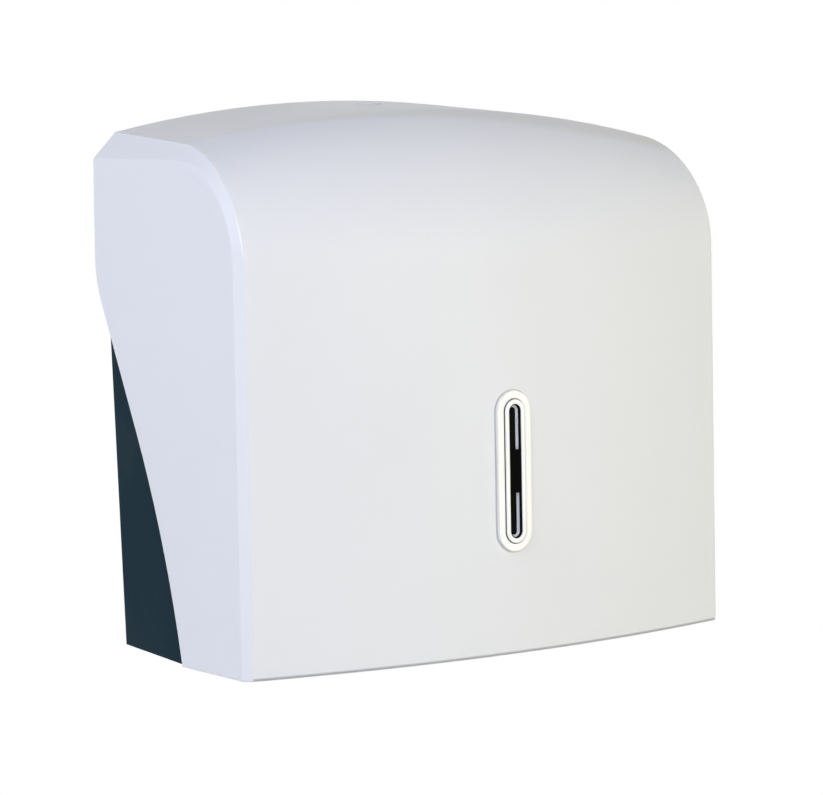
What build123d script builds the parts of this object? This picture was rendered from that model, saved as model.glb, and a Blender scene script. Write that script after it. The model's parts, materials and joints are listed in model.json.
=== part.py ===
from build123d import *
from math import cos, radians, sin, sqrt, tan
import os

# A wall-mounted dispenser for folded paper towels: a dark base on the wall and a white
# cover that swings forward and down about two pins at its foot.
# X runs across the front, Y back into the wall, Z up. Lengths are in millimetres.
# While it is modelled, Z is 0 at the cover's foot; the export moves the origin to the
# middle of the four wall screw holes.

# Outer form of the cover
width = 286.0             # over the two flat sides
depth = 142.6             # wall to the foot of the front, at the middle
height = 261.5            # foot to the top's rear edge, at the middle
front_lean = 1.0          # degrees, the foot stands forward
top_fall = 3.2            # degrees, the top falls towards the front
bow_radius = 636.0        # sideways bow of the front and the top
nose_radius = 72.0        # round between front and top, at the middle
side_height = 235.5       # top of the flat side
side_depth = 123.3        # wall to the foot of the flat side's front edge
nose_step = 24.0          # the flat side's upper front corner is this much tighter
edge_round = 1.35         # soft edges of the side bevels
foot_round = 0.9          # soft edge round the foot
bevel_zone = 15.0         # the side bevels lie within this distance of the flat sides
long_edge = 60.0          # shortest edge that counts as a long one
cover_wall = 2.5
wall_gap = 0.8            # cover's rear edge to the wall

# Rear cut of the cover's sides: down the wall, then forward in a long slant
cut_head = 177.7          # where the slant would meet the wall
cut_knee_out = 60.3       # where the slant steepens, out from the wall
cut_knee_up = 57.2
cut_foot_out = 73.3
cut_head_round = 50.0
cut_knee_round = 470.0

# Base
seam_gap = 1.2            # base's outer walls to the cover's inside
base_inset = 14.0         # base's side at the wall, at the foot, in from the cover's
base_rise = 0.040         # half width gained per mm upwards
base_flare = 0.145        # half width gained per mm out from the wall
base_wall = 2.5
back_wall = 3.0
floor_wall = 3.0
lap = 6.0                 # base wall tucked in behind the cover's edge
rim_depth = 12.0          # depth of the base's rim above the slant
tray_clear = 3.4          # extra room for the cover's swing in front of the tray
rear_edge_round = 1.5

# Screws through the back into the wall
hole_span_x = 200.0
hole_span_z = 150.0
hole_mid_up = 145.0       # middle of the pattern above the foot
hole_diameter = 5.5
hole_boss = 16.0
boss_height = 3.0

# Ribs that the towels slide down
rib_xs = [-76.0, -25.0, 25.0, 76.0]
rib_width = 2.0
rib_height = 3.0
rib_foot = 20.0
rib_top = 205.0

# Towel stack and its two side guides
guide_room = 9.0          # from the base's side to the towels
towel_depth = 102.0
stack_clear = 1.5
guide_wall = 2.0
guide_height = 150.0
guide_lip = 12.0          # lip that holds the stack at the front
guide_flange = 11.5       # flange screwed to the back
guide_nose = 18.0         # rounded upper front corner
guide_screw_ups = [40.0, 130.0]
guide_boss = 9.0

# Outlet in the floor
outlet_land = 18.0        # floor left under the towels at either end of the outlet
outlet_depth = 42.0
outlet_round = 16.0
outlet_mid = 63.0         # middle of the outlet, out from the wall
floor_hole_ends = 10.0    # floor's hole past the outlet, at either end
floor_hole_sides = 18.0   # and along it
throat_flange = 5.0       # throat's flange over the floor
throat_wall = 1.8
throat_fit = 0.3
rim_width = 3.0
rim_rise = 4.5            # rim round the outlet, above the throat
rim_round = 1.35
barb_width = 14.0
barb_reach = 1.0
barb_thick = 1.0
barb_shifts = [-70.0, 70.0]

# Hinge
hinge_out = 100.0         # axis, out from the wall; far enough for the cover to rest shut
hinge_up = 12.0
open_angle = 100.0        # degrees, where the stops meet
pin_radius = 2.5
pin_head_radius = 4.0
pin_head = 1.5
bush_wall = 1.5
bush_play = 0.05
lug_thick = 5.0
lug_radius = 8.0
ear_radius = 7.5
ear_thick = 3.9           # ear inwards from the cover's side wall
ear_gap = 0.6             # lug to ear
ear_root = 0.2            # ear's root in the wall
ear_skin = 1.5            # left outside the bush's blind bore
stop_length = 8.0
stop_clear = 0.2
pin_end_gap = 0.3

# Quarter-turn lock in the top
lock_out = 26.0           # axis, out from the wall
flange_radius = 10.0
flange_thick = 1.2
flange_gap = 0.15
pad_radius = 13.0
pad_thick = 3.9
sleeve_radius = 7.0
sleeve_length = 20.0
stem_radius = 5.0
head_radius = 6.5
lock_play = 0.05
head_sink = 1.1
nut_width = 19.0
nut_thick = 4.0
key_slot_length = 8.0
key_slot_width = 2.0
key_slot_deep = 6.0
cam_gap = 1.0
cam_thick = 2.0
cam_width = 8.0
cam_reach = 20.0
cam_hub_radius = 6.5
cam_tip_round = 2.0
cam_square = 6.0
square_play = 0.05
washer_thick = 1.0
washer_radius = 4.5
cam_screw_radius = 1.5
cam_screw_length = 8.0

# Keeper on the base that the cam turns in behind
keeper_sheet = 1.5
keeper_tall = 14.0
keeper_gap = 1.5          # cam to the keeper's lip
keeper_arm = 24.0         # arm's inner face, out from the middle
keeper_lip = 15.0
keeper_foot = 21.0
keeper_seat = 6.0
keeper_screw_shifts = [-5.0, 5.0]

# Sight window in the front
window_up = 87.3
window_width = 19.6       # outer ring
window_length = 76.2
seat_sink = 0.5           # ring's seat in the cover
seat_gap = 0.6            # groove that the seat leaves round the ring
outer_ring_proud = 1.7
outer_ring_band = 3.7     # width of the outer ring's face
ring_joint = 0.3          # joint between the two rings
inner_ring_proud = 2.4
inner_ring_band = 2.25
inner_ring_front = 0.6    # thickness of its front lip
outer_ring_round = 0.7
inner_ring_round = 0.5
skirt_wall = 2.0
skirt_fit = 0.2
skirt_depth = 5.0
ring_flange = 1.5
panel_lap = 1.0           # inner parts behind the front lip
panel_fit = 0.05
retainer_play = 0.2
face_thick = 0.8
liner_thick = 1.0         # its opening narrows at 45 degrees
pane_thick = 1.2
sight_width = 5.3         # opening in the face
sight_length = 62.5
sight_bridge = 20.5       # bridge across its middle
retainer_thick = 1.5
retainer_width = 24.0
retainer_length = 100.0
window_boss = 3.5
window_screw_span = 88.0

# Small screws, countersunk or pan headed
screw_radius = 1.6
screw_head_radius = 3.0
screw_head = 1.6
screw_play = 0.05
pilot_radius = 1.4        # the screws cut their own thread in the plastic
guide_screw_length = 6.5
keeper_screw_length = 8.0
window_screw_length = 5.0

# Working values
overrun = 60.0            # cutting blocks run this far past the part
bevel_start = 2.0         # the bevels' block begins this far outside the flat sides
near = 0.01               # lengths this close count as the same
wall_share = 0.8          # most of a wall that a round on it may take
crest_share = 0.45        # most of a rim's width that a round on one side may take

half_width = width / 2
side_nose = nose_radius - nose_step
base_half = half_width - base_inset
towel_width = 2 * (base_half - guide_room)
outlet_width = towel_width - 2 * outlet_land
floor_hole_width = outlet_width + 2 * floor_hole_ends
floor_hole_depth = outlet_depth + 2 * floor_hole_sides
lean, fall = radians(front_lean), radians(top_fall)
inner_half = half_width - cover_wall
ear_face = inner_half - ear_thick
lug_face = ear_face - ear_gap - lug_thick      # inner face of the base's hinge lugs
guide_half = towel_width / 2 + stack_clear
hole_radius = screw_radius + screw_play
floor_top = floor_wall
rib_face = back_wall + rib_height
below, above, behind = -overrun, height + overrun, overrun


# ---- Outer form, shared by the cover and everything that nests inside it ----

def arc_centre(out, up, radius, leaning, falling):
    """Centre (y, z) of the round between a leaning front line and a falling top line."""
    tl, tf = tan(leaning), tan(falling)
    y = (-out + tl * (up - radius / cos(falling)) + radius / cos(leaning)) / (1 - tl * tf)
    return y, up + y * tf - radius / cos(falling)


def bowed_shield(inset):
    """Front, nose and top as one bowed skin, filled in to the wall."""
    yc, zc = arc_centre(depth, height, nose_radius, lean, fall)
    centre, across = (0, yc, zc), width - 2 * inset
    bow = Pos(0, nose_radius - bow_radius) * Circle(bow_radius - inset)
    deep = bow & Pos(0, (nose_radius - above) / 2) * Rectangle(across, nose_radius + above)
    wedge = bow & Pos(0, nose_radius / 2) * Rectangle(across, nose_radius)
    downward = Plane(centre, x_dir=(1, 0, 0), z_dir=(0, -sin(lean), -cos(lean)))
    rearward = Plane(centre, x_dir=(-1, 0, 0), z_dir=(0, cos(fall), sin(fall)))
    front = extrude(downward * deep, zc - below)
    top = extrude(rearward * deep, behind - yc)
    nose = revolve(downward * wedge, Axis(centre, (-1, 0, 0)), 90 - front_lean - top_fall)
    return front + top + nose


def side_outline(x, grow):
    """Outline of a flat side at the given x, grown outwards all round its front and top."""
    yc, zc = arc_centre(side_depth, side_height, side_nose, lean, 0)
    radius = side_nose + grow
    middle = (radians(90) + lean) / 2

    def front_y(z):
        return yc - radius / cos(lean) + tan(lean) * (z - zc)

    foot = (x, front_y(below), below)
    nose_start = (x, yc - radius * cos(lean), zc + radius * sin(lean))
    nose_middle = (x, yc - radius * cos(middle), zc + radius * sin(middle))
    nose_end = (x, yc, zc + radius)
    rear_top = (x, behind, zc + radius)
    rear_foot = (x, behind, below)
    return Wire([Line(foot, nose_start), ThreePointArc(nose_start, nose_middle, nose_end),
                 Line(nose_end, rear_top), Line(rear_top, rear_foot), Line(rear_foot, foot)])


def bevelled_sides(inset):
    """Block that grows inwards from just outside each flat side at 45 degrees."""
    shrink = (sqrt(2) - 1) * inset
    start = half_width - inset + bevel_start
    outer = side_outline(start, -shrink - bevel_start)
    middle = side_outline(0, half_width - inset - shrink)
    right = Solid.make_loft([outer, middle], ruled=True)
    return right + mirror(right, Plane.YZ)


def outer_form(inset):
    return bowed_shield(inset) & bevelled_sides(inset)


def slab(y0, y1, z0, z1, x0=-width, x1=width):
    """Box between two corners, given as pairs along each axis."""
    size = Box(x1 - x0, y1 - y0, z1 - z0)
    return Pos((x0 + x1) / 2, (y0 + y1) / 2, (z0 + z1) / 2) * size


def rear_zone(rear_y, shift):
    """Everything behind the slanting rear cut, moved forward by the shift."""
    slope = (cut_foot_out - cut_knee_out) / cut_knee_up
    foot = (-(cut_foot_out - slope * below) - shift, below)
    knee = (-cut_knee_out - shift, cut_knee_up)
    head = (rear_y - shift, cut_head)
    crown = (rear_y - shift, above)
    cut = FilletPolyline(foot, knee, head, crown, radius=[cut_knee_round, cut_head_round])
    back = Polyline(crown, (behind, above), (behind, below), foot)
    return extrude(Plane.YZ * make_face(cut + back), width, both=True)


def bevel_edges(solid):
    """Long edges of the two side bevels, at either end of the width."""
    return [edge for edge in solid.edges()
            if edge.length > long_edge and abs(edge.center().X) > half_width - bevel_zone
            and edge.center().Y < behind - near and edge.center().Z > below + near]


# ---- Cover ----

def cover_blank():
    """Outer block of the cover, down to the foot, with its edges softened."""
    form = outer_form(0)
    block = fillet(bevel_edges(form), edge_round) & slab(-depth * 2, -wall_gap, 0, above)
    foot_edges = [edge for edge in block.edges()
                  if edge.center().Z < near and edge.center().Y < -wall_gap - near]
    return fillet(foot_edges, min(foot_round, wall_share * min(cover_wall, edge_round)))


def hinge_axis():
    return Axis((0, -hinge_out, hinge_up), (1, 0, 0))


def ear(side):
    """Boss inside the cover's side with the blind bore for the bush, and the opening stop."""
    reach = ear_thick + ear_root
    boss = rod(side, ear_face, reach, ear_radius)
    stop = slab(-hinge_out - stop_length, -hinge_out, floor_top + stop_clear, hinge_up,
                ear_face, ear_face + reach)
    stop = stop if side > 0 else mirror(stop, Plane.YZ)
    return boss + stop.rotate(hinge_axis(), -open_angle)


def rod(side, x0, length, radius):
    """Cylinder on the hinge axis, from x0 outwards on the given side."""
    return Pos(side * (x0 + length / 2), -hinge_out, hinge_up) * Rot(0, 90, 0) * \
        Cylinder(radius, length)


def bush_bore(side):
    return rod(side, ear_face, half_width - ear_skin - ear_face, pin_radius + bush_play + bush_wall)


def window_plane():
    """Plane on the front at the window's middle; its Z points out of the front."""
    y = -depth + tan(lean) * window_up
    return Plane((0, y, window_up), x_dir=(1, 0, 0), z_dir=(0, -cos(lean), sin(lean)))


def stadium(wide, tall, low, high):
    """Upright round-ended block on the window plane, between two heights off the front."""
    shape = SlotOverall(tall, wide, rotation=90)
    return extrude(window_plane().offset(low) * shape, high - low)


def front_cover():
    shell = cover_blank() - outer_form(cover_wall) - rear_zone(-wall_gap, 0)
    shell += lock_pad()
    shell += window_bosses()
    shell -= stadium(window_width + 2 * seat_gap, window_length + 2 * seat_gap,
                     -seat_sink, cover_wall)
    shell -= stadium(skirt_width() + 2 * skirt_fit, skirt_length() + 2 * skirt_fit,
                     -skirt_depth, cover_wall)
    shell -= lock_recess()
    for side in (-1, 1):
        shell += ear(side)
        shell -= bush_bore(side)
    return shell


# ---- Lock ----

def top_surface(out):
    """Height of the top's middle line at a distance out from the wall."""
    return height - out * tan(fall)


def land_z():
    """Seat of the lock's flange, which is thinnest at its front edge."""
    return top_surface(lock_out + flange_radius) - flange_thick


def head_top():
    """Flat top of the turning head, flush with the cover at its rear edge."""
    return top_surface(lock_out - head_radius)


def turned(radius, low, high):
    """Cylinder on the lock's axis."""
    return Pos(0, -lock_out, (low + high) / 2) * Cylinder(radius, high - low)


def lock_pad():
    land = land_z()
    roof = outer_form(cover_wall / 2)
    return turned(pad_radius, land - pad_thick, above) & roof


def lock_recess():
    land = land_z()
    recess = turned(flange_radius + flange_gap, land, above)
    return recess + turned(sleeve_radius, land - sleeve_length, above)


def lock_housing():
    """Sleeve with a flange whose top follows the cover's."""
    land = land_z()
    body = turned(flange_radius, land, above) & outer_form(0)
    body += turned(sleeve_radius, land - sleeve_length, land)
    body -= turned(stem_radius + lock_play, land - sleeve_length, above)
    return body - turned(head_radius + lock_play, head_top() - head_sink, above)


def lock_nut():
    top = land_z() - pad_thick
    nut = Pos(0, -lock_out, top - nut_thick) * extrude(
        RegularPolygon(nut_width / 2, 6, major_radius=False), nut_thick)
    return nut - turned(sleeve_radius, top - nut_thick, top)


def cam_top():
    return land_z() - sleeve_length - cam_gap


def lock_cylinder():
    top = head_top()
    barrel = turned(head_radius, top - head_sink + lock_play, top)
    barrel += turned(stem_radius, cam_top(), top)
    square = slab(-lock_out - cam_square / 2, -lock_out + cam_square / 2,
                  cam_top() - cam_thick, cam_top(), -cam_square / 2, cam_square / 2)
    slot = slab(-lock_out - key_slot_width / 2, -lock_out + key_slot_width / 2,
                top - key_slot_deep, above, -key_slot_length / 2, key_slot_length / 2)
    screw_hole = turned(cam_screw_radius, cam_top() - cam_thick, cam_top() - cam_thick
                        + cam_screw_length)
    return barrel + square - slot - screw_hole


def lock_cam():
    """Blade that points at the wall when free and turns a quarter to lock."""
    low = cam_top() - cam_thick
    hub = turned(cam_hub_radius, low, cam_top())
    blade = slab(-lock_out, -lock_out + cam_reach, low, cam_top(), -cam_width / 2, cam_width / 2)
    side = cam_square / 2 + square_play
    hole = slab(-lock_out - side, -lock_out + side, low, cam_top(), -side, side)
    tips = (blade.edges() | Axis.Z).group_by(Axis.Y)[-1]
    return hub + fillet(tips, cam_tip_round) - hole


def cam_washer():
    top = cam_top() - cam_thick
    return turned(washer_radius, top - washer_thick, top) - \
        turned(cam_screw_radius + lock_play, top - washer_thick, top)


def cam_screw():
    top = cam_top() - cam_thick - washer_thick
    head = turned(screw_head_radius, top - screw_head, top)
    return head + turned(cam_screw_radius, top, top + washer_thick + cam_screw_length)


def keeper_low():
    return cam_top() - cam_thick / 2 - keeper_tall / 2


def keeper_strip(y0, y1, x0, x1):
    return slab(y0, y1, keeper_low(), keeper_low() + keeper_tall, -x1, -x0)


def keeper_hole_x():
    return keeper_arm + keeper_sheet + (keeper_foot - keeper_sheet) / 2


def lock_keeper():
    """Folded strip: a foot on the base, an arm beside the cam and a lip in front of it."""
    seat_y = -back_wall - keeper_seat
    lip_y = -lock_out - cam_width / 2 - keeper_gap
    outer = keeper_arm + keeper_sheet
    strip = keeper_strip(seat_y - keeper_sheet, seat_y, keeper_arm, keeper_arm + keeper_foot)
    strip += keeper_strip(lip_y - keeper_sheet, seat_y, keeper_arm, outer)
    strip += keeper_strip(lip_y - keeper_sheet, lip_y, outer - keeper_lip - keeper_sheet, outer)
    for shift in keeper_screw_shifts:
        strip -= wall_rod(-keeper_hole_x() + shift, keeper_mid(), hole_radius, 0, depth)
    return strip


def keeper_mid():
    return keeper_low() + keeper_tall / 2


def wall_rod(x, z, radius, y0, y1):
    """Cylinder square to the wall, y0 and y1 measured out from it."""
    near, far = sorted((-y0, -y1))
    return Pos(x, (near + far) / 2, z) * Rot(90, 0, 0) * Cylinder(radius, far - near)


def keeper_screws():
    under = back_wall + keeper_seat + keeper_sheet
    screws = []
    for shift in keeper_screw_shifts:
        x = -keeper_hole_x() + shift
        head = wall_rod(x, keeper_mid(), screw_head_radius, under, under + screw_head)
        screws.append(head + wall_rod(x, keeper_mid(), screw_radius, under - keeper_screw_length,
                                      under + screw_head / 2))
    return Compound(children=screws)


# ---- Base ----

def side_plane(side, inset):
    """Drafted plane of the base's side wall, moved inwards by the inset."""
    normal = Vector(side, base_flare, -base_rise).normalized()
    return Plane(Vector(side * base_half, 0, 0) - normal * inset, z_dir=normal)


def base_form(inset, front_room):
    """What fits inside the cover and between the base's drafted side planes."""
    form = outer_form(cover_wall + seam_gap + inset)
    if front_room:
        form = form & Pos(0, front_room, 0) * form
    for side in (-1, 1):
        form = split(form, side_plane(side, inset), keep=Keep.BOTTOM)
    return form


def rear_corners(solid):
    """Upright outer edges of the base against the wall."""
    return [edge for edge in solid.edges()
            if edge.center().Y > -near and abs(edge.center().X) > base_half - bevel_zone
            and edge.length > long_edge]


def base_shell():
    zone = rear_zone(0, lap) + slab(-rim_depth, behind, below, above)
    block = base_form(0, 0) & slab(-depth, 0, 0, above) & zone
    block = fillet(rear_corners(block), rear_edge_round)
    hollow = base_form(base_wall, 0) & slab(-depth * 2, -back_wall, floor_top, above)
    return block - hollow


def tray_floor():
    return base_form(0, tray_clear) & slab(-depth, -back_wall, 0, floor_top)


def floor_cut(grow, low, high):
    """Block through the floor's outlet, grown all round."""
    return Pos(0, -outlet_mid, (low + high) / 2) * Box(
        floor_hole_width + 2 * grow, floor_hole_depth + 2 * grow, high - low)


def hinge_lug(side):
    post = slab(-hinge_out - lug_radius, -hinge_out + lug_radius, 0, hinge_up,
                lug_face, lug_face + lug_thick)
    post = post if side > 0 else mirror(post, Plane.YZ)
    post += rod(side, lug_face, lug_thick, lug_radius)
    return post - rod(side, lug_face, lug_thick, pin_radius)


def wall_holes():
    return [(x, z) for x in (-hole_span_x / 2, hole_span_x / 2)
            for z in (hole_mid_up - hole_span_z / 2, hole_mid_up + hole_span_z / 2)]


def guide_holes():
    x = guide_half + guide_wall - guide_flange / 2
    return [(side * x, up) for side in (-1, 1) for up in guide_screw_ups]


def rear_base():
    base = base_shell() + tray_floor()
    base -= floor_cut(0, below, above)
    base -= floor_cut(barb_reach + throat_fit, below, floor_wall - throat_wall)
    for side in (-1, 1):
        base += hinge_lug(side)
    for x in rib_xs:
        base += slab(-rib_face, -back_wall / 2, rib_foot, rib_top, x - rib_width / 2,
                     x + rib_width / 2)
    for x, z in wall_holes():
        base += wall_rod(x, z, hole_boss / 2, 0, back_wall + boss_height)
        base -= wall_rod(x, z, hole_diameter / 2, -overrun, overrun)
    for x, z in guide_holes():
        base += wall_rod(x, z, guide_boss / 2, 0, rib_face)
        base -= wall_rod(x, z, pilot_radius, rib_face + guide_wall - guide_screw_length, overrun)
    return base + keeper_block()


def keeper_block():
    """Raised seat for the keeper, with its two screw holes."""
    face = back_wall + keeper_seat
    low = keeper_low()
    block = slab(-face, -back_wall / 2, low, low + keeper_tall,
                 -keeper_arm - keeper_foot, -keeper_arm)
    for shift in keeper_screw_shifts:
        block -= wall_rod(-keeper_hole_x() + shift, keeper_mid(), pilot_radius,
                          face + keeper_sheet - keeper_screw_length, overrun)
    return block


# ---- Hinge pins and bushes ----

def hinge_pin(side):
    tip = half_width - ear_skin - pin_end_gap
    head = rod(side, lug_face - pin_head, pin_head, pin_head_radius)
    return head + rod(side, lug_face, tip - lug_face, pin_radius)


def hinge_bush(side):
    bore = bush_bore(side)
    return bore - rod(side, 0, width, pin_radius + bush_play)


# ---- Outlet throat and towel guides ----

def outlet_block(grow, low, high):
    shape = RectangleRounded(outlet_width + 2 * grow, outlet_depth + 2 * grow,
                             outlet_round + grow)
    return Pos(0, -outlet_mid, low) * extrude(shape, high - low)


def outlet_throat():
    """Smooth insert in the floor: flange, skirt, snap barbs and a rounded rim."""
    top = floor_top + throat_wall
    throat = floor_cut(throat_flange, floor_top, top)
    skirt = floor_cut(-throat_fit, 0, floor_top) - floor_cut(-throat_fit - throat_wall, 0, floor_top)
    barb_y = floor_hole_depth / 2 - throat_fit
    for side in (-1, 1):
        for shift in barb_shifts:
            edge = side * barb_y
            outer = edge + side * (barb_reach + throat_fit)
            y0, y1 = sorted((edge - side * throat_wall, outer))
            skirt += slab(y0 - outlet_mid, y1 - outlet_mid, 0, barb_thick,
                          shift - barb_width / 2, shift + barb_width / 2)
    rim = outlet_block(rim_width, floor_top - rim_width / 2, top + rim_rise)
    rim = rim - outlet_block(0, floor_top - rim_width / 2, top + rim_rise)
    crests = rim.edges().group_by(Axis.Z)[-1]
    rim = fillet(crests, min(rim_round, rim_width * crest_share))
    return throat + skirt + rim - outlet_block(0, below, above)


def towel_guide(side):
    """Upright plate beside the stack, with a front lip and a flange screwed to the back."""
    front = rib_face + towel_depth + stack_clear
    outer = guide_half + guide_wall
    plate = slab(-front - guide_wall, -rib_face, floor_top, guide_height, guide_half, outer)
    nose = (plate.edges() | Axis.X).group_by(Axis.Z)[-1].sort_by(Axis.Y)[0]
    plate = fillet(nose, guide_nose)
    lip = slab(-front - guide_wall, -front, floor_top, guide_height - guide_nose,
               outer - guide_lip, outer)
    flange = slab(-rib_face - guide_wall, -rib_face, floor_top, guide_height,
                  outer - guide_flange, outer)
    guide = plate + lip + flange
    if side < 0:
        guide = mirror(guide, Plane.YZ)
    for x, z in guide_holes():
        guide -= countersunk(x, z, screw_play)
    return guide


def countersunk(x, z, play):
    """Countersunk screw through a guide's flange, or its hole when given some play."""
    face = rib_face + guide_wall
    shank = wall_rod(x, z, screw_radius + play, face - guide_screw_length, face)
    head = Pos(x, -face + screw_head / 2, z) * Rot(90, 0, 0) * Cone(
        screw_radius + play, screw_head_radius + play, screw_head)
    return shank + head


def guide_screws():
    return Compound(children=[countersunk(x, z, 0) for x, z in guide_holes()])


# ---- Sight window ----

def skirt_width():
    return opening_width() + 2 * skirt_wall


def skirt_length():
    return opening_length() + 2 * skirt_wall


def opening_width():
    """Opening in the outer ring."""
    return window_width - 2 * outer_ring_band


def opening_length():
    return window_length - 2 * outer_ring_band


def window_outer_ring():
    ring = stadium(window_width, window_length, -seat_sink, outer_ring_proud)
    brow = ring.edges().filter_by(lambda e: window_height(e.center()) > outer_ring_proud - near)
    ring = fillet(brow, outer_ring_round)
    ring += stadium(skirt_width(), skirt_length(), -skirt_depth, 0)
    ring -= stadium(opening_width(), opening_length(), -above, above)
    return ring


def window_height(point):
    """Distance of a point out from the front at the window."""
    return window_plane().to_local_coords(point).Z


def inner_width():
    return opening_width() - 2 * ring_joint


def inner_length():
    return opening_length() - 2 * ring_joint


def sight_opening_width():
    return inner_width() - 2 * inner_ring_band


def sight_opening_length():
    return inner_length() - 2 * inner_ring_band


def window_inner_ring():
    seat = inner_ring_proud - inner_ring_front
    ring = stadium(inner_width(), inner_length(), -skirt_depth, inner_ring_proud)
    brow = ring.edges().filter_by(lambda e: window_height(e.center()) > inner_ring_proud - near)
    ring = fillet(brow, inner_ring_round)
    ring += stadium(skirt_width(), skirt_length(), -skirt_depth - ring_flange, -skirt_depth)
    ring -= stadium(sight_opening_width(), sight_opening_length(), -above, above)
    return ring - stadium(sight_opening_width() + 2 * panel_lap,
                          sight_opening_length() + 2 * panel_lap, -above, seat)


def panel(low, high, play=panel_fit):
    """Round-ended plate that fits inside the inner ring."""
    wide = sight_opening_width() + 2 * panel_lap - 2 * play
    tall = sight_opening_length() + 2 * panel_lap - 2 * play
    return stadium(wide, tall, low, high)


def face_top():
    return inner_ring_proud - inner_ring_front


def window_face():
    """Black face with one long opening, bridged across its middle."""
    top = face_top()
    low = top - face_thick
    bridge = window_plane() * Pos(0, 0, top - face_thick / 2) * \
        Box(sight_width + 2 * near, sight_bridge, face_thick)
    return panel(low, top) - stadium(sight_width, sight_length, low, top) + bridge


def window_liner():
    top = face_top() - face_thick
    narrow = 2 * liner_thick
    mouth = window_plane().offset(top) * SlotOverall(sight_length, sight_width, rotation=90)
    throat = window_plane().offset(top - liner_thick) * \
        SlotOverall(sight_length - narrow, sight_width - narrow, rotation=90)
    return panel(top - liner_thick, top) - loft([throat, mouth], ruled=True)


def pane_top():
    return face_top() - face_thick - liner_thick


def window_pane():
    return panel(pane_top() - pane_thick, pane_top())


def window_retainer():
    """Plate screwed in behind, with a raised ring that presses on the pane."""
    face = -skirt_depth - ring_flange
    plate = stadium(retainer_width, retainer_length, face - retainer_thick, face)
    plate += panel(face, pane_top() - pane_thick, retainer_play)
    plate -= stadium(sight_opening_width() - panel_lap, sight_opening_length() - panel_lap,
                     -above, 0)
    for rise in window_screw_rises():
        plate -= window_rod(rise, hole_radius, -above, 0)
    return plate


def window_screw_rises():
    return [-window_screw_span / 2, window_screw_span / 2]


def window_rod(rise, radius, low, high):
    """Cylinder square to the front, above or below the window's middle."""
    return extrude(window_plane().offset(low) * Pos(0, rise) * Circle(radius), high - low)


def window_bosses():
    """Two bosses inside the cover for the retainer's screws."""
    tip = -skirt_depth - ring_flange
    bosses = []
    for rise in window_screw_rises():
        boss = window_rod(rise, window_boss, tip, -cover_wall / 2)
        bosses.append(boss - window_rod(rise, pilot_radius, tip,
                                        tip - retainer_thick + window_screw_length))
    return bosses[0] + bosses[1]


def window_screws():
    under = -skirt_depth - ring_flange - retainer_thick
    screws = []
    for rise in window_screw_rises():
        head = window_rod(rise, screw_head_radius, under - screw_head, under)
        screws.append(head + window_rod(rise, screw_radius, under, under + window_screw_length))
    return Compound(children=screws)


# ---- Nodes ----

NODES = {
    "rear_base": rear_base,
    "outlet_throat": outlet_throat,
    "towel_guide_left": lambda: towel_guide(-1),
    "towel_guide_right": lambda: towel_guide(1),
    "guide_screws": guide_screws,
    "hinge_pin_left": lambda: hinge_pin(-1),
    "hinge_pin_right": lambda: hinge_pin(1),
    "hinge_bush_left": lambda: hinge_bush(-1),
    "hinge_bush_right": lambda: hinge_bush(1),
    "lock_keeper": lock_keeper,
    "keeper_screws": keeper_screws,
    "front_cover": front_cover,
    "lock_housing": lock_housing,
    "lock_nut": lock_nut,
    "lock_cylinder": lock_cylinder,
    "lock_cam": lock_cam,
    "cam_washer": cam_washer,
    "cam_screw": cam_screw,
    "window_outer_ring": window_outer_ring,
    "window_inner_ring": window_inner_ring,
    "window_face": window_face,
    "window_liner": window_liner,
    "window_pane": window_pane,
    "window_retainer": window_retainer,
    "window_screws": window_screws,
}


def main():
    os.makedirs("parts", exist_ok=True)
    for name, build in NODES.items():
        export_step(Pos(0, 0, -hole_mid_up) * build(), f"parts/{name}.step")


main()
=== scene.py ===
import json
import math

import bmesh
import bpy
from mathutils import Matrix, Vector


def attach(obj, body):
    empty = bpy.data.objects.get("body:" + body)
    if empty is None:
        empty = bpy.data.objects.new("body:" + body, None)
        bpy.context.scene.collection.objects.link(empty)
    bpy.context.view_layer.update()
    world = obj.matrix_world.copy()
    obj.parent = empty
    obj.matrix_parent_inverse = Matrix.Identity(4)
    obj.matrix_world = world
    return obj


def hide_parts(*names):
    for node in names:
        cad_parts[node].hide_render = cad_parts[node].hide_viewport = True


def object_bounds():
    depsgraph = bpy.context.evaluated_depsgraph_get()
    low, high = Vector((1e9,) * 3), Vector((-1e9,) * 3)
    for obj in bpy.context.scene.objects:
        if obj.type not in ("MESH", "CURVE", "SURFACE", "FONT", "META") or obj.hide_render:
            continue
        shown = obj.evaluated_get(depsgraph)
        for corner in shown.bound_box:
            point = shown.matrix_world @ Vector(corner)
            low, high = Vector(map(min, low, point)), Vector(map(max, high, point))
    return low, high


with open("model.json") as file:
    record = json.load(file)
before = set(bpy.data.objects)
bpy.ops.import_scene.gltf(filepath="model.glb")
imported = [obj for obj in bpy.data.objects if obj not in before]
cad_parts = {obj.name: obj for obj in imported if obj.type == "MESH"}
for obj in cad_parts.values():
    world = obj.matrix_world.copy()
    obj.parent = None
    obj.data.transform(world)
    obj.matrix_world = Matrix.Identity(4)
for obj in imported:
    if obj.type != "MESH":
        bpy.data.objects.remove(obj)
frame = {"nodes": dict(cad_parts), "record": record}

# Folded paper towel dispenser: materials, small detailed pieces, camera, lamps and floor.
# Lengths are metres; mm turns millimetres into them.
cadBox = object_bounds()
mm = 0.001
nodes = frame["nodes"]
slotOf = {part["node"]: part["material_slot"] for part in frame["record"]["subparts"]}

# the front at the sight window's middle: its place, and its lean in degrees
windowSeat = {"out": 141.076 * mm, "up": -57.7 * mm, "lean": 1.0}
windowTilt = math.radians(windowSeat["lean"])
windowMiddle = Vector((0, -windowSeat["out"], windowSeat["up"]))
windowOutward = Vector((0, -math.cos(windowTilt), math.sin(windowTilt)))
windowUpward = windowOutward.cross(Vector((1, 0, 0)))


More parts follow.
